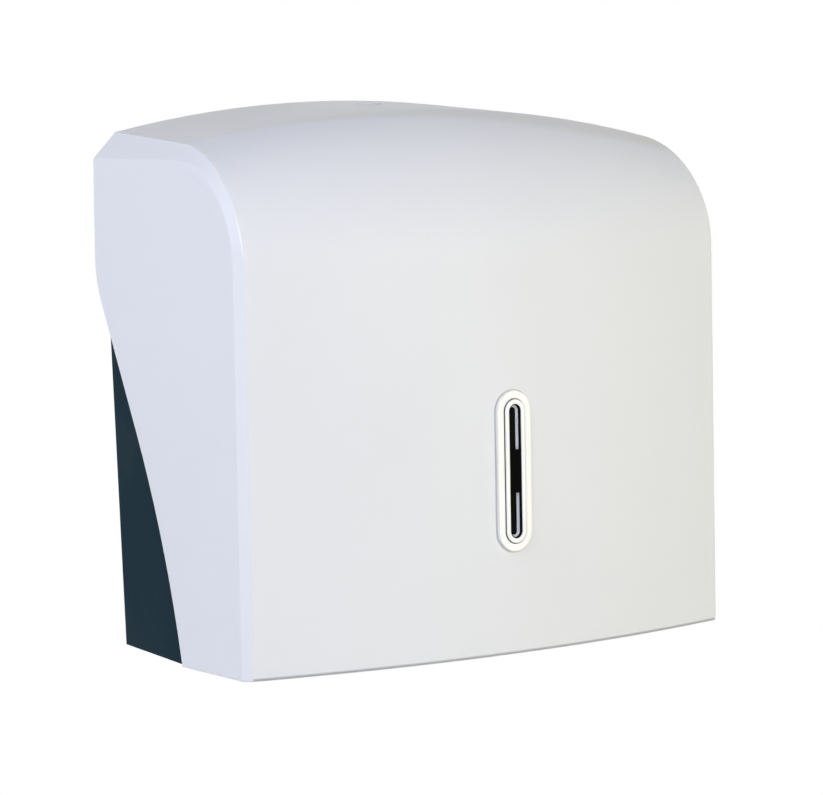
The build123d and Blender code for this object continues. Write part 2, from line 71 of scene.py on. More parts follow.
# small helpers for node trees

def addNode(tree, kind, **settings):
    node = tree.nodes.new(kind)
    for name, value in settings.items():
        setattr(node, name, value)
    return node


def fill(node, **values):
    for name, value in values.items():
        node.inputs[name.replace("_", " ")].default_value = value
    return node


def mathNode(tree, operation, first, second):
    node = addNode(tree, "ShaderNodeMath", operation=operation)
    for place, value in enumerate((first, second)):
        if isinstance(value, bpy.types.NodeSocket):
            tree.links.new(value, node.inputs[place])
        else:
            node.inputs[place].default_value = value
    return node.outputs[0]


def rampNode(tree, source, low, high, lowValue, highValue):
    node = addNode(tree, "ShaderNodeMapRange", interpolation_type="SMOOTHSTEP")
    fill(node, From_Min=low, From_Max=high, To_Min=lowValue, To_Max=highValue)
    tree.links.new(source, node.inputs["Value"])
    return node.outputs["Result"]


def mixColour(tree, factor, first, second):
    node = addNode(tree, "ShaderNodeMix", data_type="RGBA")
    for place, value in ((0, factor), (6, first), (7, second)):
        if isinstance(value, bpy.types.NodeSocket):
            tree.links.new(value, node.inputs[place])
        else:
            node.inputs[place].default_value = value if place == 0 else (*value, 1)
    return node.outputs[2]


def newGroup(name, inputs, outputs):
    tree = bpy.data.node_groups.new(name, "ShaderNodeTree")
    for socketName, kind, value in inputs:
        socket = tree.interface.new_socket(name=socketName, in_out="INPUT", socket_type=kind)
        if value is not None:
            socket.default_value = value
    for socketName, kind in outputs:
        tree.interface.new_socket(name=socketName, in_out="OUTPUT", socket_type=kind)
    return tree, tree.nodes.new("NodeGroupInput"), tree.nodes.new("NodeGroupOutput")


# shared effects, each a group that several materials use

def makeMouldGrain():
    # fine pitted skin of a spark-eroded mould, as a height
    tree, entry, out = newGroup("mouldGrain", [("Vector", "NodeSocketVector", None),
                                               ("Pit Size", "NodeSocketFloat", 0.0006)],
                                [("Height", "NodeSocketFloat")])
    scale = mathNode(tree, "DIVIDE", 1.0, entry.outputs["Pit Size"])
    fine = addNode(tree, "ShaderNodeTexNoise")
    fill(fine, Detail=3.0, Roughness=0.55)
    cells = addNode(tree, "ShaderNodeTexVoronoi", feature="SMOOTH_F1")
    fill(cells, Smoothness=0.8)
    for texture in (fine, cells):
        tree.links.new(entry.outputs["Vector"], texture.inputs["Vector"])
        tree.links.new(scale, texture.inputs["Scale"])
    both = mathNode(tree, "ADD", fine.outputs["Fac"],
                    mathNode(tree, "MULTIPLY", cells.outputs["Distance"], 0.5))
    tree.links.new(both, out.inputs["Height"])
    return tree


def makeSoftMottle():
    # slow uneven patches, 0 to 1, for colour and gloss
    tree, entry, out = newGroup("softMottle", [("Vector", "NodeSocketVector", None),
                                               ("Patch Size", "NodeSocketFloat", 0.05)],
                                [("Factor", "NodeSocketFloat")])
    scale = mathNode(tree, "DIVIDE", 1.0, entry.outputs["Patch Size"])
    noise = addNode(tree, "ShaderNodeTexNoise")
    fill(noise, Detail=4.0, Roughness=0.5, Distortion=0.4)
    tree.links.new(entry.outputs["Vector"], noise.inputs["Vector"])
    tree.links.new(scale, noise.inputs["Scale"])
    tree.links.new(rampNode(tree, noise.outputs["Fac"], 0.3, 0.7, 0.0, 1.0), out.inputs["Factor"])
    return tree


def makeSoftEdge():
    # rounds the look of crisp edges and gives a mask of where they are
    tree, entry, out = newGroup("softEdge", [("Sharpness", "NodeSocketFloat", 6.0)],
                                [("Edge", "NodeSocketFloat"), ("Normal", "NodeSocketVector")])
    bevel = addNode(tree, "ShaderNodeBevel", samples=4)
    fill(bevel, Radius=0.35 * mm)
    plain = addNode(tree, "ShaderNodeNewGeometry")
    meet = addNode(tree, "ShaderNodeVectorMath", operation="DOT_PRODUCT")
    tree.links.new(bevel.outputs["Normal"], meet.inputs[0])
    tree.links.new(plain.outputs["Normal"], meet.inputs[1])
    away = mathNode(tree, "SUBTRACT", 1.0, meet.outputs["Value"])
    mask = mathNode(tree, "MULTIPLY", away, entry.outputs["Sharpness"])
    tree.links.new(rampNode(tree, mask, 0.0, 1.0, 0.0, 1.0), out.inputs["Edge"])
    tree.links.new(bevel.outputs["Normal"], out.inputs["Normal"])
    return tree


def makeFineDust():
    # sparse specks and a thin film on what faces up
    tree, entry, out = newGroup("fineDust", [("Vector", "NodeSocketVector", None),
                                             ("Normal", "NodeSocketVector", None),
                                             ("Amount", "NodeSocketFloat", 0.2)],
                                [("Factor", "NodeSocketFloat")])
    parts = addNode(tree, "ShaderNodeSeparateXYZ")
    tree.links.new(entry.outputs["Normal"], parts.inputs[0])
    up = rampNode(tree, parts.outputs["Z"], 0.3, 1.0, 0.0, 1.0)
    specks = addNode(tree, "ShaderNodeTexNoise")
    fill(specks, Scale=900.0, Detail=2.0)
    filmAndShade = addNode(tree, "ShaderNodeTexNoise")
    fill(filmAndShade, Scale=24.0, Detail=5.0)
    for texture in (specks, filmAndShade):
        tree.links.new(entry.outputs["Vector"], texture.inputs["Vector"])
    dots = rampNode(tree, specks.outputs["Fac"], 0.62, 0.72, 0.0, 1.0)
    sheet = rampNode(tree, filmAndShade.outputs["Fac"], 0.35, 0.75, 0.0, 0.5)
    both = mathNode(tree, "MAXIMUM", dots, sheet)
    masked = mathNode(tree, "MULTIPLY", both, up)
    tree.links.new(mathNode(tree, "MULTIPLY", masked, entry.outputs["Amount"]), out.inputs["Factor"])
    return tree


def makeDrawLines():
    # fine lines left by rolling or turning, stretched along one axis
    tree, entry, out = newGroup("drawLines", [("Vector", "NodeSocketVector", None),
                                              ("Stretch", "NodeSocketVector", (1, 1, 1))],
                                [("Height", "NodeSocketFloat")])
    longer = addNode(tree, "ShaderNodeVectorMath", operation="MULTIPLY")
    tree.links.new(entry.outputs["Vector"], longer.inputs[0])
    tree.links.new(entry.outputs["Stretch"], longer.inputs[1])
    noise = addNode(tree, "ShaderNodeTexNoise")
    fill(noise, Scale=1.0, Detail=4.0, Roughness=0.6)
    tree.links.new(longer.outputs["Vector"], noise.inputs["Vector"])
    tree.links.new(noise.outputs["Fac"], out.inputs["Height"])
    return tree


def makeSeamShade():
    # painted shade in the joints round the sight window, up to a height off the front
    tree, entry, out = newGroup("seamGrime", [("Vector", "NodeSocketVector", None),
                                              ("Height", "NodeSocketFloat", 0.0005)],
                                [("Mask", "NodeSocketFloat")])
    place = addNode(tree, "ShaderNodeVectorMath", operation="SUBTRACT")
    place.inputs[1].default_value = windowMiddle
    rise = addNode(tree, "ShaderNodeVectorMath", operation="DOT_PRODUCT")
    rise.inputs[1].default_value = windowOutward
    tree.links.new(entry.outputs["Vector"], place.inputs[0])
    tree.links.new(place.outputs["Vector"], rise.inputs[0])
    above = mathNode(tree, "SUBTRACT", rise.outputs["Value"], entry.outputs["Height"])
    tree.links.new(rampNode(tree, above, -0.15 * mm, 0.15 * mm, 1.0, 0.0), out.inputs["Mask"])
    return tree


def makeEdgeGloss():
    # mask of the moulded edge where the front turns into a side bevel, by the surface's own normal
    tree, entry, out = newGroup("edgeGloss", [("Normal", "NodeSocketVector", None)],
                                [("Mask", "NodeSocketFloat")])
    parts = addNode(tree, "ShaderNodeSeparateXYZ")
    tree.links.new(entry.outputs["Normal"], parts.inputs[0])
    sideways = mathNode(tree, "ABSOLUTE", parts.outputs["X"], 0.0)
    begins = rampNode(tree, sideways, 0.24, 0.32, 0.0, 1.0)
    ends = rampNode(tree, sideways, 0.60, 0.68, 1.0, 0.0)
    tree.links.new(mathNode(tree, "MULTIPLY", begins, ends), out.inputs["Mask"])
    return tree


def makeTopShade():
    # mask of the level top for painted shade, reaching further down the round to the right
    tree, entry, out = newGroup("topFilm", [("Vector", "NodeSocketVector", None),
                                            ("Normal", "NodeSocketVector", None)],
                                [("Mask", "NodeSocketFloat")])
    parts = addNode(tree, "ShaderNodeSeparateXYZ")
    tree.links.new(entry.outputs["Normal"], parts.inputs[0])
    upward = rampNode(tree, parts.outputs["Z"], 0.80, 0.90, 0.0, 1.0)
    sideways = mathNode(tree, "MULTIPLY", parts.outputs["X"], 1.3)
    leaning = mathNode(tree, "ADD", parts.outputs["Y"], sideways)
    level = mathNode(tree, "MULTIPLY", upward, rampNode(tree, leaning, -0.42, -0.24, 0.0, 1.0))
    cloud = addNode(tree, "ShaderNodeTexNoise")
    fill(cloud, Scale=14.0, Detail=4.0)
    tree.links.new(entry.outputs["Vector"], cloud.inputs["Vector"])
    uneven = rampNode(tree, cloud.outputs["Fac"], 0.3, 0.7, 0.88, 1.0)
    tree.links.new(mathNode(tree, "MULTIPLY", level, uneven), out.inputs["Mask"])
    return tree


mouldGrain = makeMouldGrain()
softMottle = makeSoftMottle()
softEdge = makeSoftEdge()
fineDust = makeFineDust()
drawLines = makeDrawLines()
seamGrime = makeSeamShade()
edgeGloss = makeEdgeGloss()
topFilm = makeTopShade()


def placeGroup(tree, group, links, **values):
    node = addNode(tree, "ShaderNodeGroup", node_tree=group)
    for name, source in links.items():
        tree.links.new(source, node.inputs[name])
    return fill(node, **values)


def startMaterial(name):
    material = bpy.data.materials.new(name)
    material.use_nodes = True
    tree = material.node_tree
    shader = tree.nodes["Principled BSDF"]
    where = addNode(tree, "ShaderNodeTexCoord")
    return material, tree, shader, where


def addBump(tree, shader, height, depth, normal=None):
    bump = addNode(tree, "ShaderNodeBump")
    fill(bump, Strength=1.0, Distance=depth)
    tree.links.new(height, bump.inputs["Height"])
    if normal is not None:
        tree.links.new(normal, bump.inputs["Normal"])
    tree.links.new(bump.outputs["Normal"], shader.inputs["Normal"])


def footShadeLine(tree, where, rise):
    # mask of the downward rounding along the foot of the front, for a grey line of painted shade
    place = addNode(tree, "ShaderNodeSeparateXYZ")
    facing = addNode(tree, "ShaderNodeSeparateXYZ")
    tree.links.new(where.outputs["Object"], place.inputs[0])
    tree.links.new(where.outputs["Normal"], facing.inputs[0])
    foot = cadBox[0].z
    low = rampNode(tree, place.outputs["Z"], foot + 0.4 * rise, foot + rise, 1.0, 0.0)
    front = rampNode(tree, facing.outputs["Y"], -0.9, -0.7, 1.0, 0.0)
    under = rampNode(tree, facing.outputs["Z"], -0.9, -0.5, 0.0, 1.0)
    return mathNode(tree, "MULTIPLY", low, mathNode(tree, "MULTIPLY", front, under))


def makePlastic(name, look):
    material, tree, shader, where = startMaterial(name)
    spot = where.outputs["Object"]
    patches = placeGroup(tree, softMottle, {"Vector": spot}, Patch_Size=look["patchSize"])
    edge = placeGroup(tree, softEdge, {})
    dust = placeGroup(tree, fineDust, {"Vector": spot, "Normal": where.outputs["Normal"]},
                      Amount=look["dust"])
    body = mixColour(tree, patches.outputs["Factor"], look["colour"], look["secondColour"])
    # edge wear, then the painted shade below, mixed into the base colour
    wornAndShaded = mixColour(tree, mathNode(tree, "MULTIPLY", edge.outputs["Edge"], look["edge"]),
                       body, look["edgeColour"])
    # painted shade low on the window rings' sides, dark in the gap between them
    if "grimeHeight" in look:
        seam = placeGroup(tree, seamGrime, {"Vector": spot}, Height=look["grimeHeight"])
        wornAndShaded = mixColour(tree, seam.outputs["Mask"], wornAndShaded, look["grimeColour"])
    # painted shade: a grey line along the foot's downward rounding
    if "footRise" in look:
        wornAndShaded = mixColour(tree, footShadeLine(tree, where, look["footRise"]), wornAndShaded, look["footColour"])
    # painted shade: the level top greyed as if it were lit less
    if "filmColour" in look:
        filmAndShade = placeGroup(tree, topFilm, {"Vector": spot, "Normal": where.outputs["Normal"]})
        wornAndShaded = mixColour(tree, filmAndShade.outputs["Mask"], wornAndShaded, look["filmColour"])
    dusted = mixColour(tree, dust.outputs["Factor"], wornAndShaded, look["dustColour"])
    tree.links.new(dusted, shader.inputs["Base Color"])
    gloss = rampNode(tree, patches.outputs["Factor"], 0.0, 1.0,
                     look["roughness"] - look["roughnessSpread"],
                     look["roughness"] + look["roughnessSpread"])
    tree.links.new(mathNode(tree, "ADD", gloss, mathNode(tree, "MULTIPLY", dust.outputs["Factor"], 0.3)),
                   shader.inputs["Roughness"])
    grain = placeGroup(tree, mouldGrain, {"Vector": spot}, Pit_Size=look["pitSize"])
    addBump(tree, shader, grain.outputs["Height"], look["pitDepth"], edge.outputs["Normal"])
    fill(shader, IOR=1.5, Specular_IOR_Level=look["shine"], Coat_Weight=look["coat"],
         Coat_Roughness=look["coatRoughness"])
    if "edgeCoat" in look:
        turn = placeGroup(tree, edgeGloss, {"Normal": where.outputs["Normal"]})
        tree.links.new(mathNode(tree, "MULTIPLY", turn.outputs["Mask"], look["edgeCoat"]),
                       shader.inputs["Coat Weight"])
    return material


def makeMetal(name, look):
    material, tree, shader, where = startMaterial(name)
    spot = where.outputs["Object"]
    patches = placeGroup(tree, softMottle, {"Vector": spot}, Patch_Size=look["patchSize"])
    edge = placeGroup(tree, softEdge, {})
    lines = placeGroup(tree, drawLines, {"Vector": spot}, Stretch=look["stretch"])
    body = mixColour(tree, patches.outputs["Factor"], look["colour"], look["secondColour"])
    bright = mixColour(tree, mathNode(tree, "MULTIPLY", edge.outputs["Edge"], look["edge"]),
                       body, look["edgeColour"])
    tree.links.new(bright, shader.inputs["Base Color"])
    gloss = rampNode(tree, lines.outputs["Height"], 0.25, 0.75,
                     look["roughness"] - look["roughnessSpread"],
                     look["roughness"] + look["roughnessSpread"])
    tree.links.new(gloss, shader.inputs["Roughness"])
    addBump(tree, shader, lines.outputs["Height"], look["lineDepth"], edge.outputs["Normal"])
    fill(shader, Metallic=1.0)
    return material


coverPlastic = {
    "colour": (0.800, 0.806, 0.812), "secondColour": (0.790, 0.797, 0.804), "patchSize": 0.09,
    "edge": 0.0, "edgeColour": (0.86, 0.86, 0.87), "dust": 0.05, "dustColour": (0.62, 0.61, 0.59),
    "roughness": 0.42, "roughnessSpread": 0.02, "pitSize": 0.0005, "pitDepth": 0.000006,
    "shine": 0.25, "coat": 0.0, "coatRoughness": 0.12, "edgeCoat": 0.8,
    # the foot and top colours below are painted shade: a grey line on the foot's downward rounding, and a
    # greyer level top
    "footColour": (0.40, 0.41, 0.42), "footRise": 2.0 * mm, "filmColour": (0.738, 0.728, 0.694),
}
ringPlastic = {
    "colour": (0.885, 0.885, 0.855), "secondColour": (0.865, 0.865, 0.84), "patchSize": 0.02,
    "edge": 0.0, "edgeColour": (0.95, 0.95, 0.93), "dust": 0.03, "dustColour": (0.62, 0.61, 0.59),
    "roughness": 0.22, "roughnessSpread": 0.03, "pitSize": 0.0006, "pitDepth": 0.000002,
    "shine": 0.5, "coat": 0.2, "coatRoughness": 0.08,
}
# the grime colours below paint shade low on each ring's side, darkest in the gap between the rings
outerRingPlastic = dict(ringPlastic, grimeHeight=1.4 * mm, grimeColour=(0.84, 0.82, 0.74))
innerRingPlastic = dict(ringPlastic, grimeHeight=2.0 * mm, grimeColour=(0.16, 0.16, 0.16))
basePlastic = {
    "colour": (0.0008, 0.0160, 0.0262), "secondColour": (0.0014, 0.0180, 0.0296), "patchSize": 0.06,
    "edge": 0.5, "edgeColour": (0.030, 0.050, 0.065), "dust": 0.06, "dustColour": (0.20, 0.20, 0.20),
    "roughness": 0.55, "roughnessSpread": 0.04, "pitSize": 0.0007, "pitDepth": 0.00003,
    "shine": 0.037, "coat": 0.0, "coatRoughness": 0.2,
}
throatPlastic = dict(basePlastic, colour=(0.008, 0.027, 0.043), secondColour=(0.010, 0.030, 0.047),
                     shine=0.3, roughness=0.33, pitSize=0.0005, pitDepth=0.000008)
blackPlastic = {
    "colour": (0.0008, 0.0008, 0.0009), "secondColour": (0.0014, 0.0014, 0.0015), "patchSize": 0.01,
    "edge": 0.3, "edgeColour": (0.006, 0.006, 0.007), "dust": 0.005, "dustColour": (0.1, 0.1, 0.1),
    "roughness": 0.35, "roughnessSpread": 0.04, "pitSize": 0.0004, "pitDepth": 0.000005,
    "shine": 0.01, "coat": 0.0, "coatRoughness": 0.2,
}
frostedPlastic = {
    "colour": (0.80, 0.79, 0.80), "secondColour": (0.74, 0.73, 0.75), "patchSize": 0.006,
    "edge": 0.0, "edgeColour": (0.8, 0.8, 0.8), "dust": 0.0, "dustColour": (0.5, 0.5, 0.5),
    "roughness": 0.4, "roughnessSpread": 0.05, "pitSize": 0.0003, "pitDepth": 0.00001,
    "shine": 0.5, "coat": 0.3, "coatRoughness": 0.25,
}
retainerPlastic = dict(blackPlastic, colour=(0.010, 0.010, 0.011), secondColour=(0.013, 0.013, 0.014),
                       shine=0.2, edgeColour=(0.03, 0.03, 0.03))
smokedPlastic = dict(blackPlastic, colour=(0.001, 0.001, 0.0009), secondColour=(0.0016, 0.0016, 0.0015),
                     roughness=0.15, roughnessSpread=0.02, pitDepth=0.000001)
bushPlastic = dict(frostedPlastic, colour=(0.74, 0.73, 0.69), secondColour=(0.69, 0.68, 0.63), coat=0.0)
platedSteel = {
    "colour": (0.62, 0.63, 0.64), "secondColour": (0.56, 0.57, 0.60), "patchSize": 0.004,
    "edge": 0.7, "edgeColour": (0.80, 0.80, 0.80), "stretch": (300, 300, 2500),
    "roughness": 0.30, "roughnessSpread": 0.09, "lineDepth": 0.000004,
}
lockPlastic = dict(coverPlastic, colour=(0.68, 0.69, 0.70), secondColour=(0.65, 0.66, 0.67),
                   patchSize=0.01, pitSize=0.0003)
for own in ("footColour", "footRise", "edgeCoat"):
    del lockPlastic[own]

ringMaterials = {"outer": makePlastic("outerRingPlastic", outerRingPlastic),
                 "inner": makePlastic("innerRingPlastic", innerRingPlastic)}
materials = {
    "cover_plastic": makePlastic("coverPlastic", coverPlastic),
    "ring_plastic": makePlastic("ringPlastic", ringPlastic),
    "base_plastic": makePlastic("basePlastic", basePlastic),
    "throat_plastic": makePlastic("throatPlastic", throatPlastic),
    "black_plastic": makePlastic("blackPlastic", blackPlastic),
    "frosted_plastic": makePlastic("frostedPlastic", frostedPlastic),
    "smoked_plastic": makePlastic("smokedPlastic", smokedPlastic),
    "bush_plastic": makePlastic("bushPlastic", bushPlastic),
    "plated_steel": makeMetal("platedSteel", platedSteel),
    "lock_plastic": makePlastic("lockPlastic", lockPlastic),
}

for name, piece in nodes.items():
    piece.data.materials.clear()
    piece.data.materials.append(materials[slotOf[name]])
nodes["window_retainer"].data.materials[0] = makePlastic("retainerPlastic", retainerPlastic)
bpy.ops.object.select_all(action="DESELECT")
print("materials on", len(nodes), "CAD nodes")


# helpers for modelling: what is selected in edit mode is picked by place

reach = {"height": 0.01 * mm, "loop": 0.03 * mm, "axis": 0.1 * mm, "merge": 0.002 * mm, "facing": 0.9}


def startEdit(piece):
    bpy.ops.object.select_all(action="DESELECT")
    piece.select_set(True)
    bpy.context.view_layer.objects.active = piece
    bpy.ops.object.mode_set(mode="EDIT")
    bpy.ops.mesh.select_mode(type="VERT")
    bpy.ops.mesh.select_all(action="DESELECT")


def pickPoints(piece, wanted):
    bpy.ops.mesh.select_mode(type="VERT")
    bpy.ops.mesh.select_all(action="DESELECT")
    shape = bmesh.from_edit_mesh(piece.data)
    for point in shape.verts:
        point.select_set(wanted(point.co))
    shape.select_flush(True)
    bmesh.update_edit_mesh(piece.data)


def pickFaces(piece, wanted):
    bpy.ops.mesh.select_mode(type="FACE")
    bpy.ops.mesh.select_all(action="DESELECT")
    shape = bmesh.from_edit_mesh(piece.data)
    shape.normal_update()
    for face in shape.faces:
        face.select_set(wanted(face.calc_center_median(), face.normal))
    bmesh.update_edit_mesh(piece.data)


def pickEdges(piece, wanted):
    bpy.ops.mesh.select_mode(type="EDGE")
    bpy.ops.mesh.select_all(action="DESELECT")
    shape = bmesh.from_edit_mesh(piece.data)
    for edge in shape.edges:
        edge.select_set(all(wanted(point.co) for point in edge.verts))
    bmesh.update_edit_mesh(piece.data)


def extrudeBy(distance):
    bpy.ops.mesh.extrude_region_move(TRANSFORM_OT_translate={"value": (0, 0, distance)})


def finishEdit(piece, smoothAngle):
    bpy.ops.mesh.select_mode(type="VERT")
    bpy.ops.mesh.select_all(action="SELECT")
    bpy.ops.mesh.remove_doubles(threshold=reach["merge"])
    bpy.ops.mesh.normals_make_consistent(inside=False)
    bpy.ops.object.mode_set(mode="OBJECT")
    bpy.ops.object.shade_smooth_by_angle(angle=math.radians(smoothAngle))


def settle(piece, name, body, node, material):
    # places a finished piece for good: on its body, instead of its CAD node
    bpy.ops.object.select_all(action="DESELECT")
    piece.select_set(True)
    bpy.context.view_layer.objects.active = piece
    bpy.ops.object.transform_apply(location=True, rotation=True, scale=True)
    piece.name = name
    piece.data.materials.clear()
    piece.data.materials.append(material)
    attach(piece, body)
    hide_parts(node)
    piece.select_set(False)


# sight window rings, modelled flat with Z out of the front and then laid on it

ringSizes = {
    "spine": 56.6 * mm,  # straight run between the round ends
    "outerHalf": 9.8 * mm, "openingHalf": 6.1 * mm, "skirtHalf": 8.1 * mm,
    "proud": 1.7 * mm, "sink": 0.5 * mm, "skirtDepth": 5.0 * mm,
    "outerRound": 0.3 * mm, "lipRound": 0.4 * mm, "sightRound": 0.2 * mm,
    "innerHalf": 5.8 * mm, "sightHalf": 3.55 * mm, "pocketHalf": 4.55 * mm,
    "innerProud": 2.4 * mm, "innerFront": 0.6 * mm, "flange": 1.5 * mm, "innerRound": 0.4 * mm,
    "corners": 96, "smooth": 40,
}


def spineDistance(point):
    return math.hypot(point.x, max(abs(point.y) - ringSizes["spine"] / 2, 0))


def onLoop(half, height):
    # tells whether a point lies on the round-ended loop of this half width at this height
    return lambda point: (abs(spineDistance(point) - half) < reach["loop"]
                          and abs(point.z - height) < reach["height"])


def roundEndedBlock(half, low, high):
    bpy.ops.object.select_all(action="DESELECT")
    bpy.ops.mesh.primitive_cylinder_add(vertices=ringSizes["corners"], radius=half, depth=high - low,
                                        location=(0, 0, (low + high) / 2),
                                        rotation=(0, 0, math.pi / ringSizes["corners"]))
    piece = bpy.context.object
    bpy.ops.object.transform_apply(location=True, rotation=True, scale=True)
    startEdit(piece)
    for side in (-1, 1):
        pickPoints(piece, lambda point: point.y * side > 0)
        bpy.ops.transform.translate(value=(0, side * ringSizes["spine"] / 2, 0))
    return piece


def insetFace(piece, up, thickness):
    # insets the outermost face that looks up (1) or down (-1), and leaves the new inner face selected
    heights = [face.calc_center_median().z * up for face in bmesh.from_edit_mesh(piece.data).faces
               if face.normal.z * up > reach["facing"]]
    pickFaces(piece, lambda middle, normal: (normal.z * up > reach["facing"]
                                             and middle.z * up > max(heights) - reach["height"]))
    bpy.ops.mesh.inset(thickness=thickness)


def openThrough():
    # joins the two open loops with a wall
    bpy.ops.mesh.select_mode(type="EDGE")
    bpy.ops.mesh.select_all(action="DESELECT")
    bpy.ops.mesh.select_non_manifold(extend=False, use_wire=False, use_boundary=True,
                                     use_multi_face=False, use_non_contiguous=False, use_verts=False)
    bpy.ops.mesh.bridge_edge_loops()


def roundLoop(piece, half, height, size, segments):
    pickEdges(piece, onLoop(half, height))
    bpy.ops.mesh.bevel(offset=size, segments=segments, affect="EDGES")


def layOnFront(piece):
    axes = Matrix((Vector((1, 0, 0)), windowUpward, windowOutward)).transposed().to_4x4()
    piece.matrix_world = Matrix.Translation(windowMiddle) @ axes


def makeOuterRing(sizes):
    piece = roundEndedBlock(sizes["outerHalf"], -sizes["sink"], sizes["proud"])
    insetFace(piece, 1, sizes["outerHalf"] - sizes["openingHalf"])
    bpy.ops.mesh.delete(type="FACE")
    insetFace(piece, -1, sizes["outerHalf"] - sizes["skirtHalf"])
    extrudeBy(sizes["sink"] - sizes["skirtDepth"])
    insetFace(piece, -1, sizes["skirtHalf"] - sizes["openingHalf"])
    bpy.ops.mesh.delete(type="FACE")
    openThrough()
    roundLoop(piece, sizes["outerHalf"], sizes["proud"], sizes["outerRound"], 5)
    roundLoop(piece, sizes["openingHalf"], sizes["proud"], sizes["lipRound"], 3)
    finishEdit(piece, sizes["smooth"])
    layOnFront(piece)
    settle(piece, "windowOuterRing", "cover", "window_outer_ring", ringMaterials["outer"])


def makeInnerRing(sizes):
    foot = -sizes["skirtDepth"] - sizes["flange"]
    seat = sizes["innerProud"] - sizes["innerFront"]
    piece = roundEndedBlock(sizes["skirtHalf"], foot, -sizes["skirtDepth"])
    insetFace(piece, 1, sizes["skirtHalf"] - sizes["innerHalf"])
    extrudeBy(sizes["innerProud"] + sizes["skirtDepth"])
    insetFace(piece, 1, sizes["innerHalf"] - sizes["sightHalf"])
    bpy.ops.mesh.delete(type="FACE")
    insetFace(piece, -1, sizes["skirtHalf"] - sizes["pocketHalf"])
    extrudeBy(seat - foot)
    bpy.ops.mesh.inset(thickness=sizes["pocketHalf"] - sizes["sightHalf"])
    bpy.ops.mesh.delete(type="FACE")
    openThrough()
    roundLoop(piece, sizes["innerHalf"], sizes["innerProud"], sizes["innerRound"], 4)
    roundLoop(piece, sizes["sightHalf"], sizes["innerProud"], sizes["sightRound"], 3)
    finishEdit(piece, sizes["smooth"])
    layOnFront(piece)
    settle(piece, "windowInnerRing", "cover", "window_inner_ring", ringMaterials["inner"])


makeOuterRing(ringSizes)
makeInnerRing(ringSizes)
print("window rings modelled")


# cross-head screws: each kind is modelled once with its head up along Z and its top at 0, then copied

screwSizes = {
    "corners": 48, "armAngle": 15.0, "crossHalf": 1.75 * mm, "crossDepth": 1.0 * mm, "crossTaper": 0.55,
    "pitch": 1.2 * mm, "rootShare": 0.74, "plain": 0.4 * mm, "tip": 0.7 * mm, "tipShare": 0.6,
    "flank": 0.3, "crest": 0.12, "root": 0.28,  # shares of one pitch
    "rim": 0.25 * mm, "smooth": 32, "firstTurn": 23, "nextTurn": 31,
}
sunkHead = {"head": 3.0 * mm, "headDepth": 1.6 * mm, "shank": 1.6 * mm, "sunk": True,
            "round": 0.08 * mm, "roundSteps": 2}
panHead = dict(sunkHead, sunk=False, round=0.7 * mm, roundSteps=5)
screwKinds = {
    "guideScrew": dict(sunkHead, node="guide_screws", body="base", length=6.5 * mm),
    "keeperScrew": dict(panHead, node="keeper_screws", body="base", length=9.6 * mm),
    "windowScrew": dict(panHead, node="window_screws", body="cover", length=6.6 * mm),
    "camScrew": dict(panHead, node="cam_screw", body="lock", length=10.6 * mm, shank=1.5 * mm),
}
outOfWall = Vector((0, -1, 0))
screwSeats = {
    "guideScrew": [((x * mm, -8.0 * mm, z * mm), outOfWall) for x in (-117.75, 117.75) for z in (-105, -15)],
    "keeperScrew": [((x * mm, -12.1 * mm, 91.287 * mm), outOfWall) for x in (-40.25, -30.25)],
    "windowScrew": [(windowMiddle - windowOutward * 9.6 * mm + windowUpward * side * 44 * mm, -windowOutward)
                    for side in (-1, 1)],
    "camScrew": [((0, -26.0 * mm, 87.687 * mm), Vector((0, 0, -1)))],
}


def growBy(share):
    bpy.ops.transform.resize(value=(share, share, 1), center_override=(0, 0, 0))


def cutCross(piece, kind, sizes):
    # the inset loop is drawn in to a cross, one set of points at a time, and pushed down
    pickFaces(piece, lambda middle, normal: normal.z > reach["facing"])
    bpy.ops.mesh.inset(thickness=kind["head"] - sizes["crossHalf"])
    step = 360 / sizes["corners"]
    arm = math.radians(sizes["armAngle"])
    for count in range(int(45 / step) + 1):
        turn = math.radians(count * step)
        share = math.cos(arm) / math.cos(turn) if turn <= arm + 0.01 else math.sin(arm) / math.sin(turn)

        def onStep(point):
            length = math.hypot(point.x, point.y)
            if point.z < -reach["height"] or abs(length - sizes["crossHalf"]) > reach["height"]:
                return False
            return abs(min(abs(point.x), abs(point.y)) / length - math.sin(turn)) < 0.02

        pickPoints(piece, onStep)
        growBy(share)
    pickFaces(piece, lambda middle, normal: (normal.z > reach["facing"]
                                             and math.hypot(middle.x, middle.y) < reach["axis"]))
    extrudeBy(-sizes["crossDepth"])
    growBy(sizes["crossTaper"])


def cutThread(kind, sizes):
    # ridges and roots down the shank, as turns of one pitch, and then the tip
    growth = 1 / sizes["rootShare"]
    extrudeBy(-sizes["plain"])
    room = kind["length"] - kind["headDepth"] - sizes["plain"] - sizes["tip"]
    turns = int(room / sizes["pitch"])
    pitch = room / turns
    for turn in range(turns):
        for drop, share in (("flank", growth), ("crest", 1.0), ("flank", 1 / growth), ("root", 1.0)):
            extrudeBy(-sizes[drop] * pitch)
            growBy(share)
    extrudeBy(-sizes["tip"])
    growBy(sizes["tipShare"])


